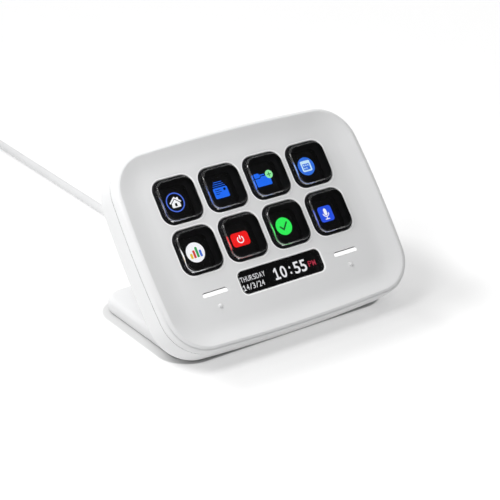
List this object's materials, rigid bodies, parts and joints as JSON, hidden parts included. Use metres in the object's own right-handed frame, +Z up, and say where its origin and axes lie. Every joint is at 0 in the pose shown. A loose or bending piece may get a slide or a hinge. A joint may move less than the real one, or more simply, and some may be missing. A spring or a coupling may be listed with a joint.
{
  "type": "macro keypad",
  "caption": "White desktop keypad with clear display keys, an information window, lit bars and touch nubs in a dished face, on a fixed V-shaped stand with a captive rear lead.",
  "frame": {"origin": "on the table, under the middle of the body and its stand, without the lead", "axes": "+X to the right along the key rows, +Y to the back, where the lead leaves, +Z up; the face leans back 50 degrees from level"},
  "size_m": [0.1149, 0.3, 0.0674],
  "materials": {
    "white_shell": "satin white moulded plastic",
    "clear_key": "clear polished plastic over a black display",
    "black_plastic": "matt black",
    "silicone": "matt black silicone",
    "film": "amber flexible film",
    "mask_film": "black printed film",
    "dark_window": "smoked clear plastic",
    "diffuser": "white light diffuser",
    "display_glass": "black display glass",
    "board": "green circuit board",
    "chip": "black chip packages",
    "connector": "ivory connector housing",
    "screw_steel": "plain steel",
    "lead_jacket": "white smooth jacket",
    "white_rubber": "white moulded boot",
    "ballast": "dark steel plate",
    "grey_rubber": "grey non-slip rubber",
    "tie_strap": "dark soft strap",
    "plug_steel": "nickel-plated steel"
  },
  "bodies": {
    "housing": {"front_bezel": "white_shell", "rear_cover": "white_shell", "key_guide": "black_plastic", "spring_rings": "silicone", "contact_sheet": "mask_film", "info_window": "dark_window", "light_window_left": "diffuser", "light_window_right": "diffuser", "touch_films": "film", "lcd_glass": "display_glass", "lcd_backlight": "black_plastic", "lcd_frame": "black_plastic", "lcd_flex": "film", "frame_screws": "screw_steel", "main_board": "board", "board_chips": "chip", "flex_connector": "connector", "lead_connector": "connector", "board_screws": "screw_steel", "inner_leads": "lead_jacket", "strain_relief": "white_rubber", "cover_screws": "screw_steel", "stand_foot": "white_shell", "stand_screws": "screw_steel", "ballast_plate": "ballast", "foot_pad": "grey_rubber", "cord_tube": "lead_jacket", "cord_coil": "lead_jacket", "cord_tie": "tie_strap", "cord_tail": "lead_jacket", "plug_boot": "white_rubber", "plug_body": "white_shell", "plug_shell": "plug_steel"},
    "key_1_cap": {"key_1": "clear_key"},
    "key_2_cap": {"key_2": "clear_key"},
    "key_3_cap": {"key_3": "clear_key"},
    "key_4_cap": {"key_4": "clear_key"},
    "key_5_cap": {"key_5": "clear_key"},
    "key_6_cap": {"key_6": "clear_key"},
    "key_7_cap": {"key_7": "clear_key"},
    "key_8_cap": {"key_8": "clear_key"}
  },
  "joints": [
    {"name": "key_1_press", "type": "slide", "parent": "housing", "child": "key_1_cap", "axis": [0, 0.766, -0.6428], "range_m": [0, 0.001], "stiffness_N_per_m": 300, "springref_m": -0.0008, "deforming": ["spring_rings"]},
    {"name": "key_2_press", "type": "slide", "parent": "housing", "child": "key_2_cap", "axis": [0, 0.766, -0.6428], "range_m": [0, 0.001], "stiffness_N_per_m": 300, "springref_m": -0.0008},
    {"name": "key_3_press", "type": "slide", "parent": "housing", "child": "key_3_cap", "axis": [0, 0.766, -0.6428], "range_m": [0, 0.001], "stiffness_N_per_m": 300, "springref_m": -0.0008},
    {"name": "key_4_press", "type": "slide", "parent": "housing", "child": "key_4_cap", "axis": [0, 0.766, -0.6428], "range_m": [0, 0.001], "stiffness_N_per_m": 300, "springref_m": -0.0008},
    {"name": "key_5_press", "type": "slide", "parent": "housing", "child": "key_5_cap", "axis": [0, 0.766, -0.6428], "range_m": [0, 0.001], "stiffness_N_per_m": 300, "springref_m": -0.0008},
    {"name": "key_6_press", "type": "slide", "parent": "housing", "child": "key_6_cap", "axis": [0, 0.766, -0.6428], "range_m": [0, 0.001], "stiffness_N_per_m": 300, "springref_m": -0.0008},
    {"name": "key_7_press", "type": "slide", "parent": "housing", "child": "key_7_cap", "axis": [0, 0.766, -0.6428], "range_m": [0, 0.001], "stiffness_N_per_m": 300, "springref_m": -0.0008},
    {"name": "key_8_press", "type": "slide", "parent": "housing", "child": "key_8_cap", "axis": [0, 0.766, -0.6428], "range_m": [0, 0.001], "stiffness_N_per_m": 300, "springref_m": -0.0008}
  ]
}
